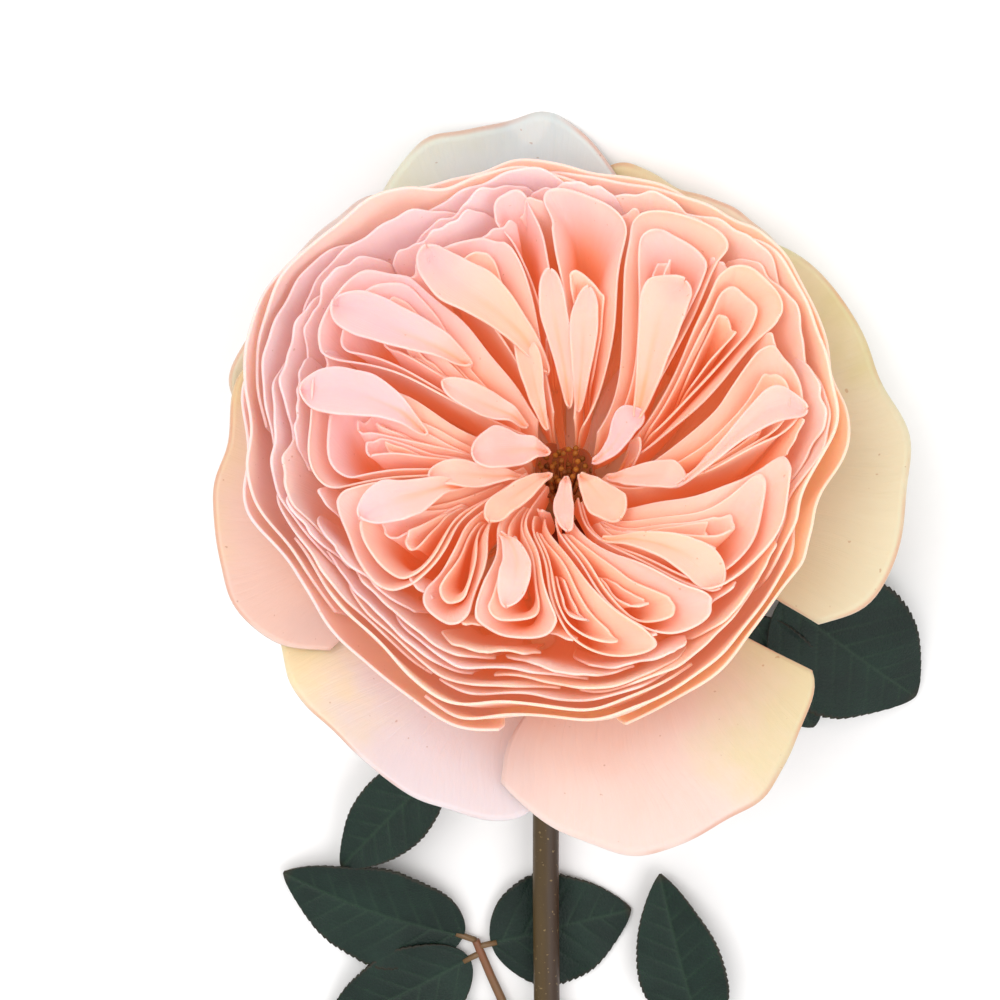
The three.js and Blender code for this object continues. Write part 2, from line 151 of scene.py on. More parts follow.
class Finish:
    def __init__(self, name):
        self.material = bpy.data.materials.new(name)
        self.material.use_nodes = True
        self.tree = self.material.node_tree
        self.skin = self.tree.nodes["Principled BSDF"]

    def add(self, kind, settings=None, *values, out=0, **named):
        node = self.tree.nodes.new(kind)
        for key, value in (settings or {}).items():
            setattr(node, key, value)
        for key, value in [*enumerate(values), *named.items()]:
            socket = node.inputs[key.replace("_", " ") if isinstance(key, str) else key]
            if isinstance(value, Wire):
                self.tree.links.new(value.socket, socket)
            else:
                socket.default_value = value
        return Wire(self, node.outputs[out])

    def read(self, name, part):
        """One part of a measure that the mesh carries at each point: 0, 1 or 2."""
        carried = self.add("ShaderNodeAttribute", {"attribute_name": name}, out=1)
        return self.add("ShaderNodeSeparateXYZ", None, carried, out=part)

    def place(self):
        return self.add("ShaderNodeTexCoord", out=3)

    def noise(self, where, scale, detail=2.0, rough=0.5):
        shape = {"Scale": scale, "Detail": detail, "Roughness": rough}
        return self.add("ShaderNodeTexNoise", None, Vector=where, **shape)

    def point(self, x, y, z):
        return self.add("ShaderNodeCombineXYZ", None, x, y, z)

    def blend(self, share, below, above):
        """Goes from one colour to another as share goes from 0 to 1."""
        settings = {"data_type": "RGBA", "clamp_factor": True}
        node = self.add("ShaderNodeMix", settings, share, out=2).socket.node
        for socket, hue in ((node.inputs[6], below), (node.inputs[7], above)):
            if isinstance(hue, Wire):
                self.tree.links.new(hue.socket, socket)
            else:
                socket.default_value = linear(hue)
        return Wire(self, node.outputs[2])

    def shade(self, hue, factor):
        """A colour made lighter or darker by a factor near 1."""
        grey = self.point(factor, factor, factor)
        return self.add("ShaderNodeVectorMath", {"operation": "MULTIPLY"}, hue, grey)

    def relief(self, height, strength, distance):
        return self.add("ShaderNodeBump", None, strength, distance, Height=height)

    def wear(self, **sockets):
        """Puts values and wires on the skin's own sockets."""
        for key, value in sockets.items():
            socket = self.skin.inputs[key.replace("_", " ")]
            if isinstance(value, Wire):
                self.tree.links.new(value.socket, socket)
            else:
                socket.default_value = value
        return self.material


# %% [markdown]
# ## Sheets with two sides
# A petal or a leaf is a thin sheet. One way is to give a flat sheet a Solidify modifier, and that is
# what is done here: the sheet's shape comes from a formula on a grid, and the modifier gives it its
# thickness. The mesh also carries measures of each point, such as how near the rim it is, so that a
# finish can be painted along the petal's own shape.


# %% Make a piece from a sheet of points
def grid_faces(rows, columns, start=0):
    corner = (np.arange(rows - 1)[:, None] * columns + np.arange(columns - 1)[None, :]).ravel() + start
    return np.stack([corner, corner + 1, corner + columns + 1, corner + columns], -1)


def piece_from(name, points, faces, carried, finish, thickness=0.0):
    mesh = bpy.data.meshes.new(name)
    mesh.from_pydata(points.tolist(), [], [list(map(int, f)) for f in faces])
    for key, values in carried.items():
        layer = mesh.attributes.new(key, "FLOAT_VECTOR", "POINT")
        layer.data.foreach_set("vector", np.ascontiguousarray(values, np.float32).ravel())
    mesh.polygons.foreach_set("use_smooth", [True] * len(mesh.polygons))
    mesh.materials.append(finish)
    piece = bpy.data.objects.new(name, mesh)
    bpy.context.scene.collection.objects.link(piece)
    if thickness:
        solid = piece.modifiers.new("thickness", "SOLIDIFY")
        solid.thickness = thickness * MM
        solid.offset = 0
    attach(piece, "root")
    return piece


def sheet(name, points, carried, finish, thickness):
    rows, columns = points.shape[:2]
    flat = {key: values.reshape(-1, 3) for key, values in carried.items()}
    return piece_from(name, points.reshape(-1, 3), grid_faces(rows, columns), flat, finish, thickness)


def sheet_grid(columns, rows, crowd=1.0):
    """u from -1 to 1 across and v from 0 to 1 along, with rows crowded towards the rim."""
    u = np.linspace(-1, 1, columns)[None, :]
    v = 1 - (1 - np.linspace(0, 1, rows)[:, None]) ** crowd
    return u + 0 * v, v + 0 * u


def smooth(x, low, high):
    t = np.clip((x - low) / (high - low), 0, 1)
    return t * t * (3 - 2 * t)


# %% [markdown]
# ## Bloom space
# Over a hundred petals are packed into this bloom, and they shouldn't pass through each other.
# Placing them one by one would take for ever, and a simulation of so many touching sheets is slow
# and uncertain. So each standing petal is first laid out in a plain space, where keeping clear is
# easy: a radius, an angle and a height. One map then bends that whole space into the bloom's bowl,
# turns it in a swirl and ripples it. Sheets that are apart before such a map are apart after it.
# Only the petals that lie over the others are placed in the bowl itself.

# %% The bowl, the dome and the swirl
RIM_HEIGHT = 40
CUP_RADIUS = 49
EYE_RADIUS = 6
EYE_RIM_HEIGHT = 27
CROWN_RADIUS = 30
BASE_SHARE = 0.16
SWIRL_INSIDE = CUP_RADIUS - 9  # the swirl turns what lies nearer to the eye than this


def cup_radius(angle):
    return CUP_RADIUS + 4.5 * np.cos(np.radians(angle - 165)) + 2 * np.cos(3 * np.radians(angle - 30))


def spread(height):
    """The bowl: how much of its rim radius a place has at this height."""
    below = np.clip(1 - height / RIM_HEIGHT, 0, 1)
    return BASE_SHARE + (1 - BASE_SHARE) * np.sqrt(1 - below**2.2)


def dome(radius):
    """Rim height of the rosette: low at the eye, level from the crown outwards."""
    return EYE_RIM_HEIGHT + (RIM_HEIGHT - EYE_RIM_HEIGHT) * smooth(radius, EYE_RADIUS, CROWN_RADIUS)


def swirl(radius, angle):
    rate = 0.65 + 0.5 * np.cos(np.radians(angle - 340))
    bend = 5 * np.sin(np.clip((radius - 8) / 34, 0, 1) * math.pi) * np.sin(np.radians(2 * angle + 20))
    return bend - rate * np.maximum(0, SWIRL_INSIDE - radius)


def ripple(points):
    """Slow waves through the whole bloom, which move neighbours together."""
    x, y, z = (points[..., i].copy() for i in range(3))
    dx = 0.9 * np.sin(0.19 * y + 0.7) + 0.5 * np.sin(0.31 * y - 0.12 * z)
    dy = 0.9 * np.sin(0.17 * x + 2.1) + 0.5 * np.sin(0.29 * x + 0.1 * z)
    return np.stack([x + dx, y + dy, z], -1)


def bloom_place(radius, angle, height):
    r = radius * spread(height)
    a = np.radians(angle + swirl(radius, angle))
    return ripple(np.stack([r * np.cos(a), r * np.sin(a), height + 0 * r], -1))


print("cup radius", [round(float(cup_radius(a)), 1) for a in range(0, 360, 60)])

# %% [markdown]
# ## Petal finish
# A petal of this rose is pale and slightly pink at its rim, with a thin painted highlight along the rim
# itself, and peach on its face. Down in a fold it is painted a saturated orange, for the shade there and
# the light that bounces from petal to petal. The outer petals of the upper left are the pinkest, those
# near the eye the most orange. Fine veins run from the base to the rim, and some brown specks lie on the
# surface. The petal lets light through a little, so the skin has some subsurface scattering, and a faint
# warm painted glow, an emission that stands in for the light from behind.


# %% The rosette's petals
# A painted glow: emission on the petals that stands in for light coming through the petals behind.
PAINTED_GLOW = 0.12  # light that has come through the petals behind


def petal_finish(name, face, fold, pink, rim):
    f = Finish(name)
    across, along, own = (f.read("sheet", i) for i in range(3))
    depth, blush = (f.read("bloom", i) for i in range(2))
    where = f.place()
    cloud = f.noise(where, 60, 3)
    streaks = f.noise(f.point(across * 26, along * 1.6, own * 9), 1, 3, 0.6)
    # Painted shade and bounced light: the colour turns a saturated orange deeper down in the folds.
    painted_fold_shade = (depth + (cloud - 0.5) * 0.25 + (own - 0.5) * 0.12).rise(0.06, 0.6)
    hue = f.blend(painted_fold_shade, face, fold)
    hue = f.blend((blush + (own - 0.5) * 0.7) * (1 - 0.75 * painted_fold_shade), hue, pink)
    # Paler towards the rim, the petal's own colour, and in the last sliver a thin painted highlight along
    # the rim.
    pale = along.rise(0.985, 1.0) * 0.2 + along.rise(0.7, 1.0) * 0.14
    hue = f.blend(pale, hue, rim)
    specks = f.noise(where, 900, 1).rise(0.76, 0.79)
    hue = f.blend(specks * 0.4, hue, "a8693f")
    hue = f.shade(hue, 0.98 + 0.07 * (streaks - 0.5) + 0.05 * (own - 0.5))
    height = streaks * 0.6 + f.noise(f.point(across * 60, along * 8, own), 1, 2) * 0.4
    return f.wear(
        Base_Color=hue,
        Roughness=0.52 + 0.12 * streaks,
        Normal=f.relief(height, 0.2, 0.0004),
        Subsurface_Weight=0.5,
        Subsurface_Radius=(0.006, 0.0022, 0.0012),
        Subsurface_Scale=1.0,
        Sheen_Weight=0.04,
        Specular_IOR_Level=0.2,
        # The painted glow is a stronger orange down in the folds.
        Emission_Color=f.blend(painted_fold_shade, "f7af8e", "fd9458"),
        Emission_Strength=PAINTED_GLOW,
    )


ROSETTE = petal_finish("petal_apricot", "fabaa1", "fca071", "efb5ba", "fde0d2")
# A darker copy of the petal finish, painted shade for the small petals that stand deep down in the eye.
THROAT_PAINTED_SHADE = petal_finish("petal_throat_painted_shade", "c87844", "6e2c0e", "b86048", "d08a5c")
CUP = petal_finish("petal_peach", "fac8b0", "fcb693", "e6c0c8", "fcdccd")

# %% [markdown]
# ## Fans of folded petals
# The rosette is quartered: its petals stand in a dozen or so fans round the eye. In a fan each petal
# is folded lengthwise, with its midrib at the fan's outer end and both margins coming back to the eye,
# and smaller ones are nested in it. A fold opens towards its rim and leans to one side, like slates,
# so that the broad inner face of one of its sides is seen. Each fan has its own lean, its own
# crowding of the smaller folds to one side, and its own list of ends.

# %% One folded petal
GAP = 1.85  # between the sides of two nested folds, where they aren't crowded
MARGIN = 0.7  # from a fan's side to its outermost fold
END_PART = 0.42  # the part of a fold that is its round end
END_DEPTH = 0.17
LEAN_DEPTH = 6.5  # how far down a fold has mostly closed
CLOSED = 0.7
DRAWN_IN = 0.17
WIDE_FAN = 28  # degrees, from which the smaller folds stand in two columns


def drawn(radius, depth, share=DRAWN_IN):
    """The outer ends lean back: deeper down they stand nearer to the eye."""
    return radius * (1 - share * (1 - np.exp(-depth / 9)))


def waves(u, dice, *pairs):
    """A rim's own slow waves, as (rate, size) pairs."""
    return sum(size * np.sin(rate * u * math.pi + dice.uniform(0, 6.3)) for rate, size in pairs)


def fold(u, v, fan, k, dice, column=0):
    """Places of a folded petal, k folds in from the fan's outermost, and its depth below the dome.
    column is -1 or 1 for a petal in one of two columns that stand side by side in a wide fan."""
    t = np.abs(u)
    side = np.sign(u)
    turn = np.minimum(1, t / END_PART) * math.pi / 2
    back = np.maximum(0, (t - END_PART) / (1 - END_PART))
    width = np.sin(turn) ** 0.85 * (1 - 0.15 * back**2)
    bent = fan["bend"] * np.cos(turn) ** 2  # the round end points to one side
    sector = math.radians(fan["to"] - fan["from"])
    inset = MARGIN + k * GAP * (1 - fan["crowd"] * side)
    outer = fan["ends"][k] - (2.5 if column * fan["crowd"] > 0 else 0)
    inner = fan["starts"][k]
    radius = outer - END_DEPTH * (outer - inner) * (1 - np.cos(turn))
    radius = radius + (inner - radius) * back
    rim = dome(radius) - fan["low"] - 0.75 * k - 2.2 * back
    rim = rim + waves(u, dice, (1.1, 0.8), (2.3, 0.5), (4.7, 0.25), (8.3, 0.1))
    foot = 0.6 + (0.5 * rim - 0.6) * np.minimum(1, 2 * t)
    height = foot + (rim - foot) * v
    depth = np.maximum(0, dome(radius) - height)
    shut = 1 - np.exp(-depth / LEAN_DEPTH)
    edge = v**7
    curl = 0.3 * edge + v**3 * waves(u, dice, (1.6, 0.16), (3.4, 0.1), (7.1, 0.04))
    half = np.maximum(0.02, sector / 2 - (inset - curl) / radius)
    middle = math.radians(fan["from"] + fan["to"]) / 2
    across = side * width + bent
    if column:
        # Two columns share the room inside the two folds round them.
        walls = fan["columns_from"] * GAP + MARGIN
        half = sector / 2 - walls / radius
        inner_inset = (0.45 + (k - fan["columns_from"]) * GAP * 0.75 - curl) / (radius * half)
        across = 0.5 * column + across * np.maximum(0.04, 0.5 - inner_inset) * (1 - 0.35 * shut)
    angle = middle + across * (1 - CLOSED * shut) * half + fan["lean"] * shut * sector / 2
    place = drawn(radius, depth) + edge * (0.3 + 0.2 * waves(u, dice, (2.1, 1)))
    return bloom_place(place, np.degrees(angle), height), depth, radius, np.degrees(angle)


def measures(u, v, own, depth, radius, angle, extra=0.0):
    """What the finish reads: where a point is on its petal, and where in the bloom."""
    upper_left = 0.5 + 0.5 * np.cos(np.radians(angle - 150))
    blush = extra + smooth(radius, 18, 44) * (0.15 + 1.0 * upper_left**1.6)
    own_sheet = np.full_like(u, own)
    return {
        "sheet": np.stack([u, v, own_sheet], -1),
        # The depth drives the painted shade and glow of the folds.
        "bloom": np.stack([depth / 22 + 0 * u, blush + 0 * u, 0 * u], -1),
    }


# %% The fans
FANS_IN_CUP = 3.4  # from the cup to the fans' longest ends
FANS = [  # name, from, to, start, ends, lean, crowd, low
    ("east", 0, 24, 7.0, [39, 36, 32.5, 28, 23], -0.45, -0.35, 0),
    ("east_north", 24, 47, 13, [42, 39, 35.5, 31.5], 0.3, 0.3, 0.4),
    ("north_east", 47, 76, 7.5, [43, 40, 36.5, 33, 28, 22], -0.35, -0.25, 0),
    ("north", 76, 100, 6.5, [42, 28, 24, 20], 0.0, 0.0, 0),
    ("north_west_sliver", 100, 111, 20, [43], 0.2, 0, 1.0),
    ("north_west", 111, 131, 7, [40, 35, 30], 0.35, 0.3, 0),
    ("west_north", 131, 164, 7.5, [44, 40.5, 37, 33.5, 29.5, 24.5], 0.45, 0.4, 0),
    ("west", 164, 197, 7, [43, 40, 37, 33.5, 29.5, 25], 0.4, 0.3, 0.5),
    ("west_south", 197, 226, 8, [42, 39, 35.5, 31.5, 27], 0.3, 0.35, 0),
    ("south_west", 226, 245, 15, [38, 35, 31.5], -0.3, -0.2, 0.6),
    ("south", 245, 274, 7, [38, 35.2, 32, 28.5, 24], 0.35, 0.3, 0),
    ("south_east", 274, 295, 13.5, [40, 37, 33.5, 29], -0.35, -0.3, 0.3),
    ("east_south", 295, 317, 7, [39, 36, 32.5, 28], -0.4, -0.3, 0),
    ("east_low", 317, 358, 8, [39, 36.3, 33.3, 30, 26.5, 22.5], -0.4, -0.35, 0.2),
]
CAD_NODES = set(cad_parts)
petals = []
for number, (fan_name, low_side, high_side, start, ends, lean, crowd, low) in enumerate(FANS):
    longest = float(cup_radius((low_side + high_side) / 2)) - FANS_IN_CUP
    sector = math.radians(high_side - low_side)
    fan = {"from": low_side, "to": high_side, "lean": lean, "crowd": crowd, "low": low}
    fan["bend"] = 0.36 * math.sin(2.4 * number + 0.6)
    fan["columns_from"] = 2 if high_side - low_side > WIDE_FAN else len(ends)
    fan["ends"] = [min(end, longest - 2.5 * k) for k, end in enumerate(ends)]
    narrowest = [(2 * (MARGIN + k * GAP) + 1.2) / sector for k in range(len(ends))]
    fan["starts"] = [max(start + 0.8 * k, narrow) for k, narrow in enumerate(narrowest)]
    places = [(k, 0) for k in range(len(ends)) if k < fan["columns_from"]]
    places += [(k, column) for k in range(fan["columns_from"], min(len(ends), 5)) for column in (-1, 1)]
    for k, column in places:
        layer = {0: "outer", 1: "inner"}.get(k, f"nested_{k}") + {-1: "_low", 0: "", 1: "_high"}[column]
        name = f"petal_{fan_name}_{layer}"
        if fan["ends"][k] - fan["starts"][k] < 5.5 and name not in CAD_NODES:
            continue
        dice = random.Random(100 * number + 3 * k + column)
        u, v = sheet_grid(64 if column else 76, 18, 1.6)
        points, depth, radius, angle = fold(u, v, fan, k, dice, column)
        carried = measures(u, v, dice.random(), depth, radius, angle)
        piece = sheet(f"{name}_shown", in_bloom(points), carried, ROSETTE, 0.32)
        if name in CAD_NODES:
            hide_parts(name)
        petals.append(piece)
    print(fan_name, len(places), "folds")

# %% [markdown]
# ## Petals that lie over the fans
# Some petals have fallen forward over the folds, and show the whole of their broad faces: a long
# tongue at the upper left, one beside the eye, some at the right. Each is an oval sheet, narrow at the
# eye's end, hollow along its middle, held a little above the rims below it.

# %% Tongues
TONGUES = {  # (radius, angle) of the foot and of the tip, half width, pinkness, lift
    "beside_eye": ((3.2, 188), (16.5, 181), 3.9, 0.8, 1.3),
    "right_of_eye": ((4, 350), (14.5, 30), 2.5, 1.0, 1.2),
    "long_upper_left": ((13, 104), (41, 125), 4.2, 0.35, 1.6),
    "second_upper_left": ((21, 138), (44, 150), 4.6, 0.7, 1.1),
    "broad_upper_right": ((13, 30), (34, 53), 4.2, 0.1, 1.5),
    "front_left": ((8, 88), (28, 94), 2.4, 0.1, 1.0),
    "front_right": ((8, 78), (26.5, 80), 2.3, 0.15, 0.8),
    "pink_right": ((20, 338), (38.5, 4), 3.2, 1.0, 1.0),
    "lower_right": ((17, 294), (36, 312), 3.4, 0.1, 0.9),
    "far_left": ((24, 178), (45, 172), 4.6, 0.9, 1.2),
    "lower_left": ((17, 200), (37, 206), 3.4, 0.2, 1.1),
    "below_eye_right": ((4, 300), (16, 310), 3.0, 0.1, 1.3),
    "below_eye": ((4.5, 268), (15.5, 275), 1.7, 0.8, 1.6),
    "below_eye_left": ((5, 236), (18, 231), 2.9, 0.1, 1.2),
    "low_right": ((7, 338), (21, 341), 2.5, 0.6, 0.9),
    "above_eye_left": ((5, 132), (20, 113), 2.1, 0.1, 1.1),
    "left_upper": ((8, 146), (23, 152), 2.5, 0.2, 0.9),
    "left_lower": ((8, 214), (23, 195), 2.7, 0.1, 0.8),
    "bottom_left": ((19, 238), (33, 252), 2.8, 0.4, 0.8),
}
for number, (name, (start, tip, half_width, pink, lift)) in enumerate(TONGUES.items()):
    dice = random.Random(300 + number)
    u, v = sheet_grid(30, 44)
    v = 0.5 - 0.5 * np.cos(math.pi * v)
    (r0, a0), (r1, a1) = start, tip
    span = (a1 - a0 + 180) % 360 - 180
    radius = r0 + (r1 - r0) * v
    angle = a0 + span * v + span * 0.35 * np.sin(math.pi * v)
    width = half_width * np.sqrt(np.clip(1 - np.abs(2 * v - 1) ** 2.8, 0, 1))
    width = width * (0.5 + 0.5 * smooth(v, 0.0, 0.7))
    width = np.maximum(width, 0.12) * (1 + 0.05 * waves(v + 0.2 * u, dice, (2.3, 1), (4.1, 0.7), (9, 0.25)))
    x = radius * np.cos(np.radians(angle)) - u * width * np.sin(np.radians(angle))
    y = radius * np.sin(np.radians(angle)) + u * width * np.cos(np.radians(angle))
    hollow = 0.34 * half_width * (np.abs(u + 0.15) ** 1.7 - 0.6)
    wavy = 0.3 * np.abs(u) * waves(v, dice, (2.3, 1), (5.1, 0.6))
    over = lift + 0.1 * half_width + 0.4 * (1 - v)
    over = over - 3.0 * (1 - smooth(v, 0, 0.22)) - 1.8 * smooth(v, 0.7, 1.0)
    z = dome(np.hypot(x, y)) + over + hollow + wavy
    # This depth only feeds the finish: painted shade in the fold colour along the middle crease and towards
    # the foot.
    crease = np.exp(-((u / 0.28) ** 2)) * smooth(1 - v, 0.08, 0.6)
    own = dice.random()
    depth = 6 * crease + 6 * (1 - smooth(v, 0, 0.35)) + 2 * dice.random()
    carried = measures(u, v, own, depth, radius, angle, pink * 0.8)
    carried["sheet"][..., 1] = np.maximum(1 - (1 - np.abs(u)) * width / 30, 1 - (1 - v) * (r1 - r0) / 30)
    points = ripple(np.stack([x, y, z], -1))
    petals.append(sheet(f"petal_tongue_{name}", in_bloom(points), carried, ROSETTE, 0.35))
print(len(TONGUES), "petals lie over the fans")

# %% [markdown]
# ## Small petals round the eye
# Between the fans' margins stand small petals, some of them half turned into stamens. They are
# single narrow sheets, hollow towards the eye.

# %% The eye's petals
EYE_PETALS = [
    (35.5, 8, 12.5), (105.5, 4.5, 19), (235.5, 7.5, 13), (284, 7.5, 12.5),
]
for number, (middle, span, radius) in enumerate(EYE_PETALS):
    dice = random.Random(900 + number)
    u, v = sheet_grid(20, 14, 1.4)
    rim = dome(radius) - 3 * u * u + 0.4 * np.sin(5 * u + dice.uniform(0, 6.3))
    height = 0.6 + (rim - 0.6) * v
    r = radius - 0.8 * u * u + 0 * v
    angle = middle + u * span * (0.45 + 0.55 * np.sin(math.pi * np.minimum(v, 0.75) / 1.5))
    points = bloom_place(r, angle, height)
    # Depth below the rim, for the painted fold shade.
    carried = measures(u, v, dice.random(), np.maximum(0, rim - height) * 0.8, r, angle, 0.4)
    piece = sheet(f"petal_eye_{number + 1}_shown", in_bloom(points), carried, ROSETTE, 0.32)
    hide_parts(f"petal_eye_{number + 1}")
    petals.append(piece)

for number in range(14):
    dice = random.Random(1900 + number)
    u, v = sheet_grid(24, 14, 1.3)
    lower = number // 7
    height = 0.2 + (dice.uniform(16, 22) - 3.5 * u * u - 9 * lower) * v
    angle = 51.4 * number + 33 * u
    radius = 4.9 + 3.1 * lower + 0.5 * (number % 2) + 0.4 * v * u * u
    # A fixed depth of 22 paints them all over in the throat's darkest fold colour, as painted shade.
    carried = measures(u, 0.6 * v, dice.random(), 22 + 0 * v, radius, angle)
    points = bloom_place(radius, angle, height)
    name = f"petal_small_{number + 1}"
    petals.append(sheet(name, in_bloom(points), carried, THROAT_PAINTED_SHADE, 0.25))

# %% [markdown]
# ## The cup
# Broad petals stand round the rosette and hold it together. Each covers a quarter of the way round
# or more, and they overlap like slates, in layers whose rims step down on the outside. Between them
# and the fans stand shorter petals that follow the fans' ends, closest together at the lower side.

# %% Collar petals, between the fans and the cup
ring_angles = np.array([(a + b) / 2 for _, a, b, *_ in FANS])
ring_ends = np.array([ends[0] for *_, ends, _, _, _ in FANS], float)


def ring_inside(angle):
    """The fans' outer ends, as a smooth line round the bloom."""
    at = np.asarray(angle) % 360
    around = np.concatenate([ring_angles - 360, ring_angles, ring_angles + 360])
    ends = np.tile(ring_ends, 3)
    smoothed = sum(np.interp(at + shift, around, ends) for shift in (-8, -4, 0, 4, 8)) / 5
    return np.minimum(smoothed + 1.2, cup_radius(at) - FANS_IN_CUP)


CORNER_HALF_SPAN = 5.2
for number, (_, corner, *_) in enumerate(FANS):
    dice = random.Random(1100 + number)
    u, v = sheet_grid(24, 16, 1.6)
    ends = ring_ends[number - 1], ring_ends[number]
    angle = corner + u * CORNER_HALF_SPAN
    radius = min(*ends, float(cup_radius(corner)) - FANS_IN_CUP) - 1.1 + 0.5 * u**2 + 0 * v
    rim = dome(radius) - 0.6 - 2.2 * u**2 + waves(u, dice, (1.1, 0.6), (2.3, 0.3))
    height = 0.6 + (rim - 0.6) * (0.35 + 0.65 * v)
    depth = np.maximum(0, dome(radius) - height)
    carried = measures(u, v, dice.random(), depth, radius, angle)
    closed = 0.5 * (1 - np.exp(-depth / 8))
    points = bloom_place(drawn(radius, depth), corner + u * CORNER_HALF_SPAN * (1 - closed), height)
    name = f"petal_corner_{number + 1}"
    petals.append(sheet(name, in_bloom(points), carried, ROSETTE, 0.3))

COLLARS = [  # middle, half span, share of the way from the fans to the cup
    (215, 26, 0.86), (269, 26, 0.86), (160, 27, 0.86), (106, 26, 0.8), (52, 27, 0.75), (-5, 27, 0.75),
    (242, 27, 0.72), (298, 25, 0.7), (186, 24, 0.66), (132, 22, 0.62), (228, 21, 0.57), (277, 23, 0.57),
    (251, 24, 0.42), (165, 20, 0.42), (112, 16, 0.42), (30, 20, 0.35), (70, 17, 0.35), (318, 16, 0.35),
    (233, 20, 0.27), (271, 15, 0.27), (190, 17, 0.3), (148, 15, 0.25), (251, 14, 0.12), (175, 13, 0.15),
    (214, 15, 0.1), (289, 13, 0.1), (120, 13, 0.14), (200, 12, 0.42), (5, 17, 0.35), (88, 12, 0.12),
]
for number, (middle, span, share) in enumerate(COLLARS):
    dice = random.Random(1300 + number)
    u, v = sheet_grid(70, 18, 1.6)
    angle = middle + u * span
    edge = v**7
    inside = ring_inside(angle)
    radius = inside + (cup_radius(angle) - 1.9 - inside) * share
    rim = RIM_HEIGHT - 0.3 - 1.2 * share - 4.5 * np.abs(u) ** 3
    rim = rim + waves(u, dice, (1.3, 0.7), (2.9, 0.4), (6.1, 0.2))
    foot = 0.6 + (0.5 * rim - 0.6) * np.minimum(1, 2 * np.abs(u))
    height = foot + (rim - foot) * v
    depth = np.maximum(0, RIM_HEIGHT - height)
    place = drawn(radius, depth, 0.13 - 0.04 * share) + edge * (0.35 + 0.15 * waves(u, dice, (3, 1)))
    # Half the depth: less painted fold shade on the collar petals.
    carried = measures(u, v, dice.random(), depth * 0.5, radius, angle)
    points = bloom_place(place, angle, height)
    name = f"petal_collar_{number + 1}"
    petals.append(sheet(name, in_bloom(points), carried, CUP, 0.35))

# %% Cup petals
CUP_LAYER_GAP = 1.8
CUP_STEP_DOWN = 2.2
CUP_HALF_SPAN = 48
CUP_LEAN = 0.05


def cup(u, v, middle, layer, dice):
    angle = middle + u * CUP_HALF_SPAN
    rim = RIM_HEIGHT - layer * CUP_STEP_DOWN - 5 * np.abs(u) ** 3
    rim = rim + waves(u, dice, (1.7, 0.6), (4.3, 0.35), (9.1, 0.15))
    foot = 1.5 * smooth(np.abs(u), 0.4, 0.6) + (0.55 * rim - 1.6) * smooth(np.abs(u), 0.45, 1)
    height = foot + (rim - foot) * v
    edge = v**6
    radius = cup_radius(angle) + (layer - 1) * CUP_LAYER_GAP
    depth = RIM_HEIGHT - height
    place = drawn(radius, depth, CUP_LEAN) + edge * (0.3 + waves(u, dice, (3.1, 0.22), (7.3, 0.08)))
    return bloom_place(place, angle, height), depth, radius, angle


for number in range(9):
    dice = random.Random(500 + number)
    u, v = sheet_grid(110, 20, 1.6)
    points, depth, radius, angle = cup(u, v, 40 * number + 10, number % 3, dice)
    # A fifth of the depth: only a little painted fold shade on the cup petals.
    carried = measures(u, v, dice.random(), depth * 0.22, radius, angle)
    piece = sheet(f"petal_cup_{number + 1}_shown", in_bloom(points), carried, CUP, 0.45)
    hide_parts(f"petal_cup_{number + 1}")
    petals.append(piece)
print(len(petals), "petals in the rosette and cup")

# %% [markdown]
# ## Guard petals
# The outermost petals are the oldest. They have opened flat under the cup, and are paler than the
# rest, with a green-yellow tint and a thin pink-brown line along their rims. They all lie on one
# skirt round the bloom, in two layers, so that they too can't cross.

# %% The skirt
SKIRT_TOP = 24
SKIRT_GAP = 1.2
GUARD_LAYER_GAP = 1.8
GUARDS = [
    {"name": "east", "middle": 18, "span": 47, "reach": 58, "height": 15, "layer": 0},
    {"name": "north_east", "middle": 64, "span": 22, "reach": 55, "height": 23, "layer": 1},
    {"name": "north", "middle": 101, "span": 27, "reach": 65, "height": 25.5, "layer": 0},
    {"name": "north_west", "middle": 140, "span": 27, "reach": 59, "height": 20, "layer": 1},
    {"name": "west", "middle": 184, "span": 32, "reach": 59, "height": 15, "layer": 0},
    {"name": "south_west", "middle": 235, "span": 30, "reach": 56, "height": 11, "layer": 1},
    {"name": "south_east", "middle": 290, "span": 32, "reach": 63, "height": 6, "layer": 0},
]


def skirt_edge(angle):
    """The reach and the height of the skirt's edge, passing smoothly from tip to tip."""
    turned = (angle - GUARDS[0]["middle"]) % 360 + GUARDS[0]["middle"]
    after = GUARDS + [dict(GUARDS[0], middle=GUARDS[0]["middle"] + 360)]
    reach, height = np.zeros_like(turned), np.zeros_like(turned)
    for a, b in zip(after, after[1:]):
        here = (turned >= a["middle"]) & (turned <= b["middle"])
        share = smooth(turned, a["middle"], b["middle"])
        reach = np.where(here, a["reach"] + (b["reach"] - a["reach"]) * share, reach)
        height = np.where(here, a["height"] + (b["height"] - a["height"]) * share, height)
    return reach, height


def skirt(angle, out, layer, curl):
    reach, height = skirt_edge(angle)
    side = cup_radius(angle) + 2 * CUP_LAYER_GAP
    followed = SKIRT_TOP * out**1.8
    apart = SKIRT_GAP + layer * GUARD_LAYER_GAP * (0.5 + 0.5 * smooth(out, 0, 0.3))
    r = side * spread(followed) + (reach - side * spread(SKIRT_TOP)) * out**3 + apart * 0.7
    z = followed - (SKIRT_TOP - height) * out**3 - apart + curl
    a = np.radians(angle)
    return ripple(np.stack([r * np.cos(a), r * np.sin(a), z], -1))


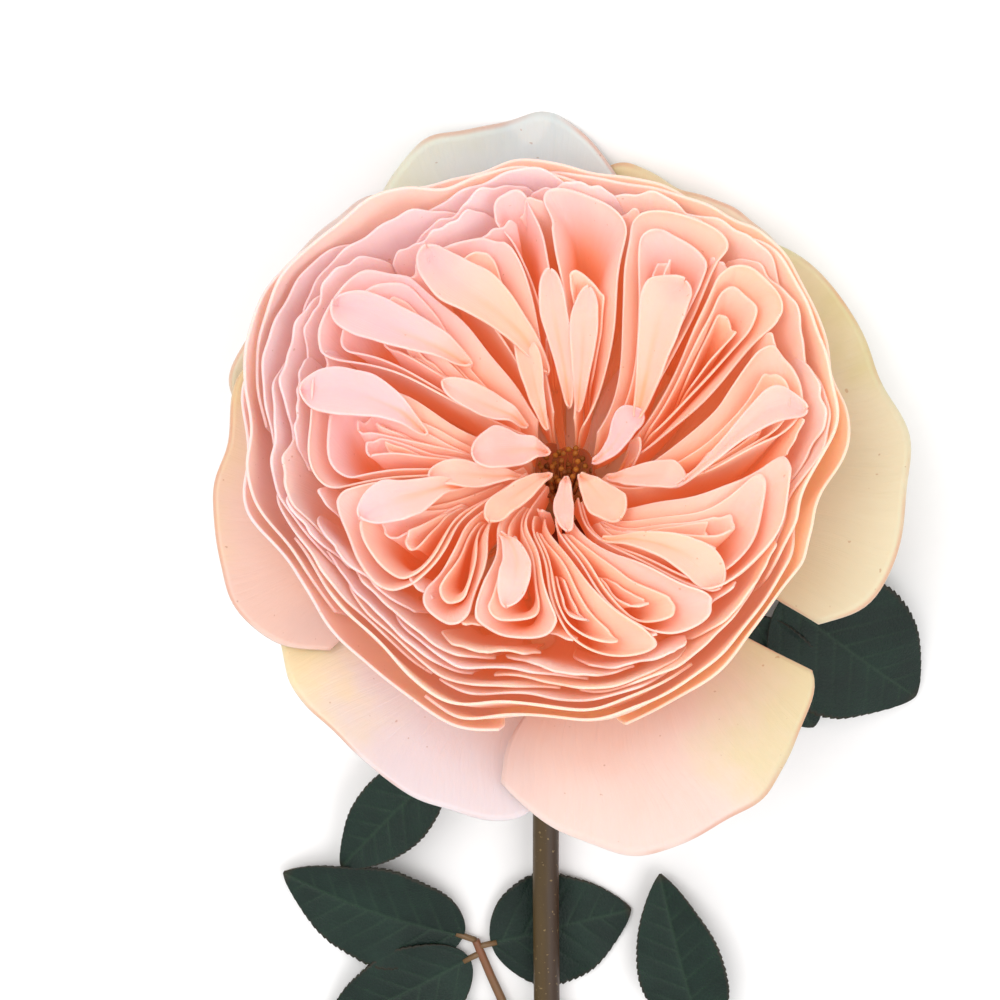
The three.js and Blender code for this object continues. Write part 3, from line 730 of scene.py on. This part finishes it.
# %% Guard finish and petals
def guard_finish(name, body, tint, glow, tint_side):
    """tint_side is -1 where the tint gathers on the petal's right, 1 on its left."""
    f = Finish(name)
    across, along, own = (f.read("sheet", i) for i in range(3))
    where = f.place()
    cloud = f.noise(where, 45, 4, 0.6)
    veins = f.noise(f.point(across * 30, along * 1.5, own), 1, 4, 0.7)
    hue = f.blend((along * 0.9 + (cloud - 0.5) * 0.6).rise(0.25, 0.85), glow, body)
    gathered = (across * tint_side * 0.45 + along * 0.75 + (cloud - 0.5) * 1.1).rise(0.6, 1.2)
    hue = f.blend(gathered * 0.9, hue, tint)
    rim = along.rise(0.985, 0.998) + across.size().rise(0.985, 0.998)
    broken = f.noise(where, 70, 2).rise(0.35, 0.6)
    hue = f.blend(rim * broken * 0.6, hue, "cf8f78")
    hue = f.blend(f.noise(where, 800, 1).rise(0.76, 0.79) * 0.4, hue, "9a6138")
    hue = f.shade(hue, 0.98 + 0.06 * (veins - 0.5))
    return f.wear(
        Base_Color=hue,
        Roughness=0.52 + 0.12 * veins,
        Normal=f.relief(veins, 0.35, 0.0005),
        Subsurface_Weight=0.3,
        Subsurface_Radius=(0.003, 0.002, 0.0015),
        Subsurface_Scale=1.0,
        Sheen_Weight=0.08,
        Specular_IOR_Level=0.3,
    )


GUARD_HUES = {
    "east": ("d3cbaf", "c3bf85", "e1d4bf", 1),
    "north_east": ("deceba", "d8c598", "e3bda0", 1),
    "north": ("ced6d5", "d2d8c1", "d8d1cb", 1),
    "north_west": ("d8c8c3", "d5cdb4", "dec0b5", 1),
    "west": ("debfb3", "dbc696", "e1b8a9", -1),
    "south_west": ("d8cdd1", "e4d1a5", "e1bcb3", -1),
    "south_east": ("e1c8c1", "cfc59e", "e4b5a7", 1),
}
for number, guard in enumerate(GUARDS):
    dice = random.Random(700 + number)
    u, v = sheet_grid(72, 40)
    notches = waves(u, dice, (1, 0.012), (2.6, 0.007), (6, 0.002))
    out = v * (1 - 0.04 * u**2 - 0.14 * np.abs(u) ** 5 + notches)
    angle = guard["middle"] + u * guard["span"] * (0.55 + 0.45 * np.sqrt(v))
    away = smooth(v, 0.6, 1.0)
    curl = away * waves(u, dice, (1.5, 0.5), (2.9, 0.25))
    points = skirt(angle, out, guard["layer"], curl)
    carried = {"sheet": np.stack([u, v, np.full_like(u, dice.random())], -1)}
    finish = guard_finish(f"guard_{guard['name']}", *GUARD_HUES[guard["name"]])
    name = f"petal_guard_{guard['name']}"
    piece = sheet(f"{name}_shown", in_bloom(points), carried, finish, 0.5)
    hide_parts(name)

# %% [markdown]
# ## Stamens
# In the bare eye stand a few dozen stamens: thin stalks, each with a lumpy golden-brown anther. They
# are made as one piece, because one mesh of many small closed bodies is quick to make and to draw.


# %% Tubes and beads
def tube(path, radii, sides, start=0, caps=True):
    """Points and faces of a tube along a path, its section kept level from ring to ring."""
    path = np.asarray(path, float)
    radii = np.broadcast_to(radii, len(path))
    ahead = np.gradient(path, axis=0)
    ahead /= np.linalg.norm(ahead, axis=1)[:, None]
    side = np.cross(ahead[0], (0.3, 0.2, 1.0))
    rings = []
    for point, way, radius in zip(path, ahead, radii):
        side = side - way * side.dot(way)
        side /= np.linalg.norm(side)
        up = np.cross(way, side)
        turn = np.linspace(0, 2 * math.pi, sides, endpoint=False)[:, None]
        rings.append(point + radius * (np.cos(turn) * side + np.sin(turn) * up))
    points = np.concatenate(rings)
    faces = []
    for j in range(len(path) - 1):
        for i in range(sides):
            a, b = j * sides + i, j * sides + (i + 1) % sides
            faces.append([start + a, start + b, start + b + sides, start + a + sides])
    if caps:
        faces.append([start + i for i in range(sides)][::-1])
        faces.append([start + len(points) - sides + i for i in range(sides)])
    return points, faces


def stamen_finish():
    f = Finish("stamen_gold")
    tip = f.read("sheet", 1)
    own = f.read("sheet", 2)
    grain = f.noise(f.place(), 2500, 2)
    hue = f.blend(own, "7a4312", "b5741f")
    hue = f.blend(tip.rise(0.5, 0.8), "b5652c", hue)
    hue = f.shade(hue, 0.75 + 0.5 * grain)
    return f.wear(Base_Color=hue, Roughness=0.7, Normal=f.relief(grain, 0.6, 0.0002))


# %% The stamens
dice = random.Random(42)
all_points, all_faces, all_carried = [], [], []
count = 0
STAMENS = 46
GOLDEN_ANGLE = math.radians(137.5)  # from one stamen to the next, so that they fill the eye evenly
for number in range(STAMENS):
    turn = number * GOLDEN_ANGLE
    r = 0.75 * math.sqrt(number)
    foot = np.array([0.3 * r * math.cos(turn), 0.3 * r * math.sin(turn), 1.0])
    top = np.array([r * math.cos(turn), r * math.sin(turn), dice.uniform(17.0, 20.5) - 0.25 * r])
    own = dice.random()
    path = [foot + (top - foot) * s for s in (0, 0.5, 0.9)]
    points, faces = tube(path, 0.16, 5, count)
    all_points.append(points)
    all_faces += faces
    all_carried += [(0, 0.2, own)] * len(points)
    count += len(points)
    bead = top - foot
    bead /= np.linalg.norm(bead)
    lean = np.array([dice.uniform(-0.4, 0.4), dice.uniform(-0.4, 0.4), 0])
    steps = np.linspace(-1, 1, 7)
    path = [top + (bead + lean) * s * 0.6 for s in steps]
    lumpy = 0.48 * np.sqrt(1.02 - steps**2) * (1 + 0.12 * np.sin(3 * steps))
    points, faces = tube(path, lumpy, 8, count)
    all_points.append(points)
    all_faces += faces
    all_carried += [(0, 1.0, own)] * len(points)
    count += len(points)
stamens = piece_from(
    "stamens_shown", in_bloom(np.concatenate(all_points)), all_faces,
    {"sheet": np.array(all_carried)}, stamen_finish(),
)
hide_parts("stamens")
print("stamens:", count, "points")

# %% [markdown]
# ## Hip and sepals
# Under the bloom the stem swells into the hip, with five pointed sepals that have folded back. The
# hip is a turned body, made as a tube whose radius follows the hip's profile. Its flat top, deep in the
# bloom between the stamens' feet, is brown.

# %% Greens
def green_finish(name, green, red):
    f = Finish(name)
    along, inside = (f.read("sheet", i) for i in (1, 2))
    cloud = f.noise(f.place(), 220, 4, 0.6)
    hue = f.blend((along + (cloud - 0.5) * 0.8).rise(0.5, 1.1), green, red)
    hue = f.blend(inside, hue, "7a3612")
    hue = f.shade(hue, 0.8 + 0.4 * cloud)
    return f.wear(Base_Color=hue, Roughness=0.42 + 0.15 * cloud, Normal=f.relief(cloud, 0.3, 0.0004))


GREEN = green_finish("green_skin", "56704a", "6e5138")
HIP_PROFILE = [  # radius and height, from the flat top down to the neck
    (0.4, 0), (5.5, 0.0), (7.2, -0.15), (7.35, -0.8), (6.6, -1.5), (5.5, -2.3), (5.7, -3.6),
    (6.2, -5.5), (6.1, -7.2), (5.6, -9), (4.6, -10.8), (3.5, -12.2), (2.8, -13), (0.4, -13),
]
hip_path = [(0, 0, z - 0.001 * i) for i, (_, z) in enumerate(HIP_PROFILE)]
points, faces = tube(hip_path, [r for r, _ in HIP_PROFILE], 40)
depth = -points[:, 2]
hip = piece_from(
    "hip_shown", in_bloom(points), faces,
    {"sheet": np.stack([0 * depth, depth / 26, 1 - smooth(depth, 0.2, 0.8)], -1)}, GREEN,
)
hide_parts("hip")
SEPAL_REACH = 22.32
for number in range(5):
    u, v = sheet_grid(14, 30)
    middle = math.radians(72 * number + 54)
    width = 4 * (1 - v**1.5) * (0.75 + 0.6 * np.sin(math.pi * np.minimum(1, v * 1.6)))
    width = width * (1 + 0.08 * np.sin(25 * v + number))
    r = HIP_RIM - 0.25 + SEPAL_REACH * v
    side = u * (width + 0.2)
    x = r * math.cos(middle) - side * math.sin(middle)
    y = r * math.sin(middle) + side * math.cos(middle)
    z = -3.4 - 5 * np.sin(math.pi * v * 0.5) + 0.12 * side**2
    name = f"sepal_{number + 1}"
    piece = sheet(f"{name}_shown", in_bloom(np.stack([x, y, z], -1)),
                  {"sheet": np.stack([u, v, 0 * u], -1)}, GREEN, 0.5)
    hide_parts(name)

# %% [markdown]
# ## Stem
# The neck bends under the weight of the bloom and runs down to the table. The stem is smooth, without
# prickles, olive brown with a redder side, and cut across at its end, where the pale pith shows.


# %% The stem's line
def between(t, start, end, first, second):
    """The place at t on a straight run from first, at start, to second, at end."""
    return (end - t) / (end - start) * first + (t - start) / (end - start) * second


def through(controls, count):
    """A smooth line through the given points."""
    controls = np.asarray(controls, float)
    lengths = np.linalg.norm(np.diff(controls, axis=0), axis=1) ** 0.5
    knots = np.concatenate([[0], np.cumsum(lengths)])
    controls = np.vstack([2 * controls[0] - controls[1], controls, 2 * controls[-1] - controls[-2]])
    knots = np.concatenate([[knots[0] - lengths[0]], knots, [knots[-1] + lengths[-1]]])
    line = []
    for t in np.linspace(knots[1], knots[-2], count):
        i = min(max(int(np.searchsorted(knots, t, "right")) - 1, 1), len(controls) - 3)
        k = knots[i - 1:i + 3]
        p = controls[i - 1:i + 3]
        a = [between(t, k[j], k[j + 1], p[j], p[j + 1]) for j in range(3)]
        b = [between(t, k[j], k[j + 2], a[j], a[j + 1]) for j in range(2)]
        line.append(between(t, k[1], k[2], b[0], b[1]))
    return np.array(line)


HIP_LENGTH = 13.35
NECK_REACH = 22
STEM_LENGTH = 190
axis = np.array([0, math.sin(BLOOM_TILT), math.cos(BLOOM_TILT)])
hip_foot = np.array([0, 0, RECEPTACLE_HEIGHT]) - HIP_LENGTH * axis
neck_foot = np.array([-2, hip_foot[1] - NECK_REACH, 6.5])
cut_end = np.array([-1.5, neck_foot[1] - STEM_LENGTH, 2.5])
neck_middle = (-1.1, hip_foot[1] - 0.55 * NECK_REACH, neck_foot[2] + 1.6)
controls = [hip_foot, hip_foot - 4 * axis, neck_middle, neck_foot]
for share in (0.25, 0.5, 0.75):
    aside = np.array([-0.5 * math.sin(2 * math.pi * share), 0, 0])
    controls.append(neck_foot + (cut_end - neck_foot) * share + aside)
stem_line = through(controls + [cut_end], 240)
print("stem runs from", stem_line[0].round(1), "to", stem_line[-1].round(1))


# %% The stem and its bark
def bark_finish():
    f = Finish("stem_bark")
    across = f.read("sheet", 0)
    cut = f.read("sheet", 2)
    where = f.place()
    stretched = f.add("ShaderNodeVectorMath", {"operation": "MULTIPLY"}, where, (900, 60, 900))
    long_grain = f.noise(stretched, 1, 3)
    cloud = f.noise(where, 90, 3)
    hue = f.blend((across + (cloud - 0.5) * 0.5).rise(0.1, 0.9), "352009", "4a3816")
    hue = f.blend((0 - across + (cloud - 0.5) * 0.4).rise(0.45, 0.95), hue, "6a3420")
    hue = f.shade(hue, 0.8 + 0.4 * long_grain)
    hue = f.blend(cut.rise(0.4, 0.6), hue, "cfc79a")
    dots = f.noise(where, 1300, 1).rise(0.68, 0.74)
    hue = f.blend(dots * 0.35, hue, "b59a68")
    return f.wear(
        Base_Color=hue,
        Roughness=0.38 + 0.2 * cloud,
        Normal=f.relief(long_grain * 0.5 + dots * 0.5, 0.3, 0.0003),
    )


SIDES = 32
STEM_RADIUS = 2.5
along = np.linspace(0, 1, len(stem_line))
radii = STEM_RADIUS - 0.12 * (1 - along) + 0.5 * np.exp(-(along / 0.012) ** 2)
for knot in (0.17, 0.215, 0.56, 0.665):
    radii = radii + 0.28 * np.exp(-((along - knot) / 0.008) ** 2)
points, faces = tube(stem_line, np.minimum(radii, 2.85), SIDES)
turn = np.tile(np.linspace(0, 2 * math.pi, SIDES, endpoint=False), len(stem_line))
carried = np.stack([np.cos(turn), np.repeat(along, SIDES), 0 * turn], -1)
carried[-SIDES:, 2] = 1
stem = piece_from("stem_shown", on_table(points), faces, {"sheet": carried}, bark_finish())
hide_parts("stem")

# %% [markdown]
# ## Leaves
# A rose leaf is compound: a thin reddish stalk carries a few leaflets, each with a toothed margin, a
# sunken midrib and side veins that run out to the teeth, with the blade bulging a little between
# them. The veins are in the mesh, so that light catches them, and in the finish, where they are paler.


# %% One leaflet
def leaflet(foot, tip, width, roll=0.0, arch=1.5, folded=0.12, seed=0):
    u, v = sheet_grid(45, 150)
    foot, tip = np.asarray(foot, float), np.asarray(tip, float)
    way = tip - foot
    length = np.linalg.norm(way)
    way /= length
    side = np.cross((0, 0, 1), way)
    side /= np.linalg.norm(side)
    up = np.cross(way, side)
    c, s = math.cos(math.radians(roll)), math.sin(math.radians(roll))
    side, up = side * c + up * s, up * c - side * s
    teeth = ((v * length / 1.3 + seed * 0.37) % 1) ** 2
    half = width / 2 * (np.sin(math.pi * v**0.8) ** 0.75 + 0.06 * (1 - v))
    half = np.maximum(half * (1 - 0.035 * teeth * smooth(v, 0.06, 0.2) * smooth(1 - v, 0, 0.08)), 0.2)
    lines = (v * length - np.abs(u) * half * 0.75) / 4.2 + 0.5 * (u > 0)
    vein = np.exp(-((np.abs((lines % 1) - 0.5) * 2 - 1) / 0.22) ** 2)
    midrib = np.exp(-((u * half / 0.55) ** 2))
    vein = np.maximum(vein * (1 - 0.6 * np.abs(u)) * smooth(half, 1.5, 4), midrib)
    wave = 0.35 * np.sin(5 * v * math.pi + seed) * np.abs(u) ** 2 * half / 8
    lift = folded * np.abs(u) * half + arch * np.sin(math.pi * v) + wave - 0.16 * vein
    points = foot + way * length * v[..., None] + side * (u * half)[..., None] + up * lift[..., None]
    return points, {"sheet": np.stack([u, v, vein], -1)}


def leaf_finish(name, dark, light, vein_hue, red):
    f = Finish(name)
    across, along, vein = (f.read("sheet", i) for i in range(3))
    where = f.place()
    cloud = f.noise(where, 110, 4, 0.6)
    fine = f.add("ShaderNodeTexVoronoi", {"feature": "DISTANCE_TO_EDGE"}, Vector=where, Scale=1400)
    hue = f.blend(cloud.rise(0.3, 0.75), dark, light)
    hue = f.blend(vein * vein * 0.3, hue, vein_hue)
    hue = f.blend(fine.rise(0.0, 0.12) * 0.18, hue, dark)
    hue = f.blend((across.size().rise(0.93, 1.0) + along.rise(0.94, 1.0)) * cloud * 0.9, hue, red)
    return f.wear(
        Base_Color=hue,
        Roughness=0.46 + 0.2 * cloud,
        Specular_IOR_Level=0.3,
        Normal=f.relief(fine.rise(0.0, 0.2) * 0.4 + cloud * 0.6, 0.35, 0.0004),
        Subsurface_Weight=0.06,
        Subsurface_Radius=(0.001, 0.0015, 0.0006),
        Subsurface_Scale=1.0,
    )


LEAF = leaf_finish("leaf_teal", "0c1f19", "162d24", "38523d", "3c2a20")
STALK = green_finish("leaf_stalk", "6e5334", "7c4a30")


# %% The leaves
def stem_at(y, side):
    point = stem_line[np.argmin(np.abs(stem_line[:, 1] - y))].copy()
    point[0] += side * (STEM_RADIUS + 0.85 + 0.2)
    return point


STALK_RINGS = 40
STALK_SIDES = 12
LEAVES = {
    "leaf_left": {
        "stalk": [stem_at(-134, -1), (-8.5, -113, 2.4), (-13, -101, 1.9), (-15.5, -94.5, 1.8)],
        "leaflets": [
            {"tip": (-51.5, -80.5, 1.6), "width": 21, "roll": -8, "arch": 2.4},
            {"tip": (13.8, -88.5, 0.8), "width": 23, "arch": 0, "folded": 0.01, "at": 0.95},
            {"tip": (-44, -113, 1.2), "width": 18, "at": 0.9},
            {"tip": (-38, -131, 1), "width": 15, "at": 0.5},
            {"tip": (15, -121, 0.8), "width": 13, "arch": -0.4, "folded": 0.01, "at": 0.46},
        ],
    },
    "leaf_right": {
        "stalk": [stem_at(-52, 1), (18, -36, 9), (38, -21.5, 8)],
        "leaflets": [
            {"tip": (65.5, -44.5, 2), "width": 27, "roll": -6, "arch": 2},
            {"tip": (47, -51, 1.2), "width": 15, "roll": 6, "at": 0.9},
            {"tip": (52, -4, 2.5), "width": 15, "at": 0.95},
        ],
    },
    "leaf_upper": {
        "stalk": [stem_at(-42, -1), (-14, -47, 9.5), (-20, -53.5, 10)],
        "leaflets": [{"tip": (-40.5, -78, 4.5), "width": 14, "roll": 25, "arch": 1.5}],
    },
    "leaf_low": {
        "stalk": [stem_at(-162, 1), (14, -144, 2.8), (28, -116, 3.4)],
        "leaflets": [
            {"tip": (19, -80, 3.4), "width": 16.5, "roll": -12},
            {"tip": (56, -124, 1), "width": 15, "at": 0.93},
            {"tip": (52, -146, 1), "width": 13, "at": 0.55},
        ],
    },
}
for name, leaf in LEAVES.items():
    line = through(leaf["stalk"], STALK_RINGS)
    points, faces = tube(line, np.linspace(1.0, 0.75, STALK_RINGS), STALK_SIDES)
    carried = np.zeros((len(points), 3))
    carried[:, 1] = np.repeat(np.linspace(0, 1, STALK_RINGS), STALK_SIDES)
    stalk = piece_from(f"{name}_stalk", on_table(points), faces, {"sheet": carried}, STALK)
    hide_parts(name)
    for number, shape in enumerate(leaf["leaflets"]):
        joint = line[round(shape.pop("at", 1) * (len(line) - 1))]
        tip = np.array(shape.pop("tip"), float)
        foot = joint + (tip - joint) / np.linalg.norm(tip - joint) * 2.5
        points, carried = leaflet(foot, tip, seed=number + len(name), **shape)
        piece = sheet(f"{name}_leaflet_{number + 1}", on_table(points), carried, LEAF, 0.4)
        neck, faces = tube([joint, (joint + foot) / 2, foot + (tip - foot) * 0.04], 0.6, 10)
        piece_from(
            f"{name}_stalklet_{number + 1}", on_table(neck), faces,
            {"sheet": np.zeros((len(neck), 3))}, STALK,
        )

# %% [markdown]
# ## Table and light
# A plain pale floor that carries on to the horizon, a large soft lamp above and to the left, a weaker
# one from the right, and an even pale sky. Together they give soft shadows and bright, clear petals.

# %% The floor, the lamps and the sky
bpy.ops.mesh.primitive_plane_add(size=8)
floor = bpy.context.object
floor.name = "table_top"
f = Finish("table_pale")
grain = f.noise(f.place(), 300, 3)
hue = f.shade(f.blend(0.5, "f4f4f4", "f8f8f8"), 0.99 + 0.02 * grain)
floor.data.materials.append(f.wear(Base_Color=hue, Roughness=0.9))


def lamp(name, place, aim, size, watts, hue):
    light = bpy.data.lights.new(name, "AREA")
    light.shape = "DISK"
    light.size = size
    light.energy = watts
    light.color = hue
    holder = bpy.data.objects.new(name, light)
    bpy.context.scene.collection.objects.link(holder)
    holder.location = place
    holder.rotation_euler = (Vector(aim) - Vector(place)).to_track_quat("-Z", "Y").to_euler()
    return holder


aim = receptacle + Vector((0, 0, 0.03))
lamp("soft_key", (-0.45, 0.7, 1.35), aim, 1.1, 13.4, (1, 0.985, 0.97))
lamp("soft_fill", (0.7, -0.3, 1.1), aim, 1.2, 6, (1, 0.98, 0.98))
sky = bpy.data.worlds.new("pale_sky")
bpy.context.scene.world = sky
sky.use_nodes = True
sky.node_tree.nodes["Background"].inputs["Color"].default_value = (1, 1, 1, 1)
sky.node_tree.nodes["Background"].inputs["Strength"].default_value = 0.75
bpy.context.scene.view_settings.view_transform = "Standard"
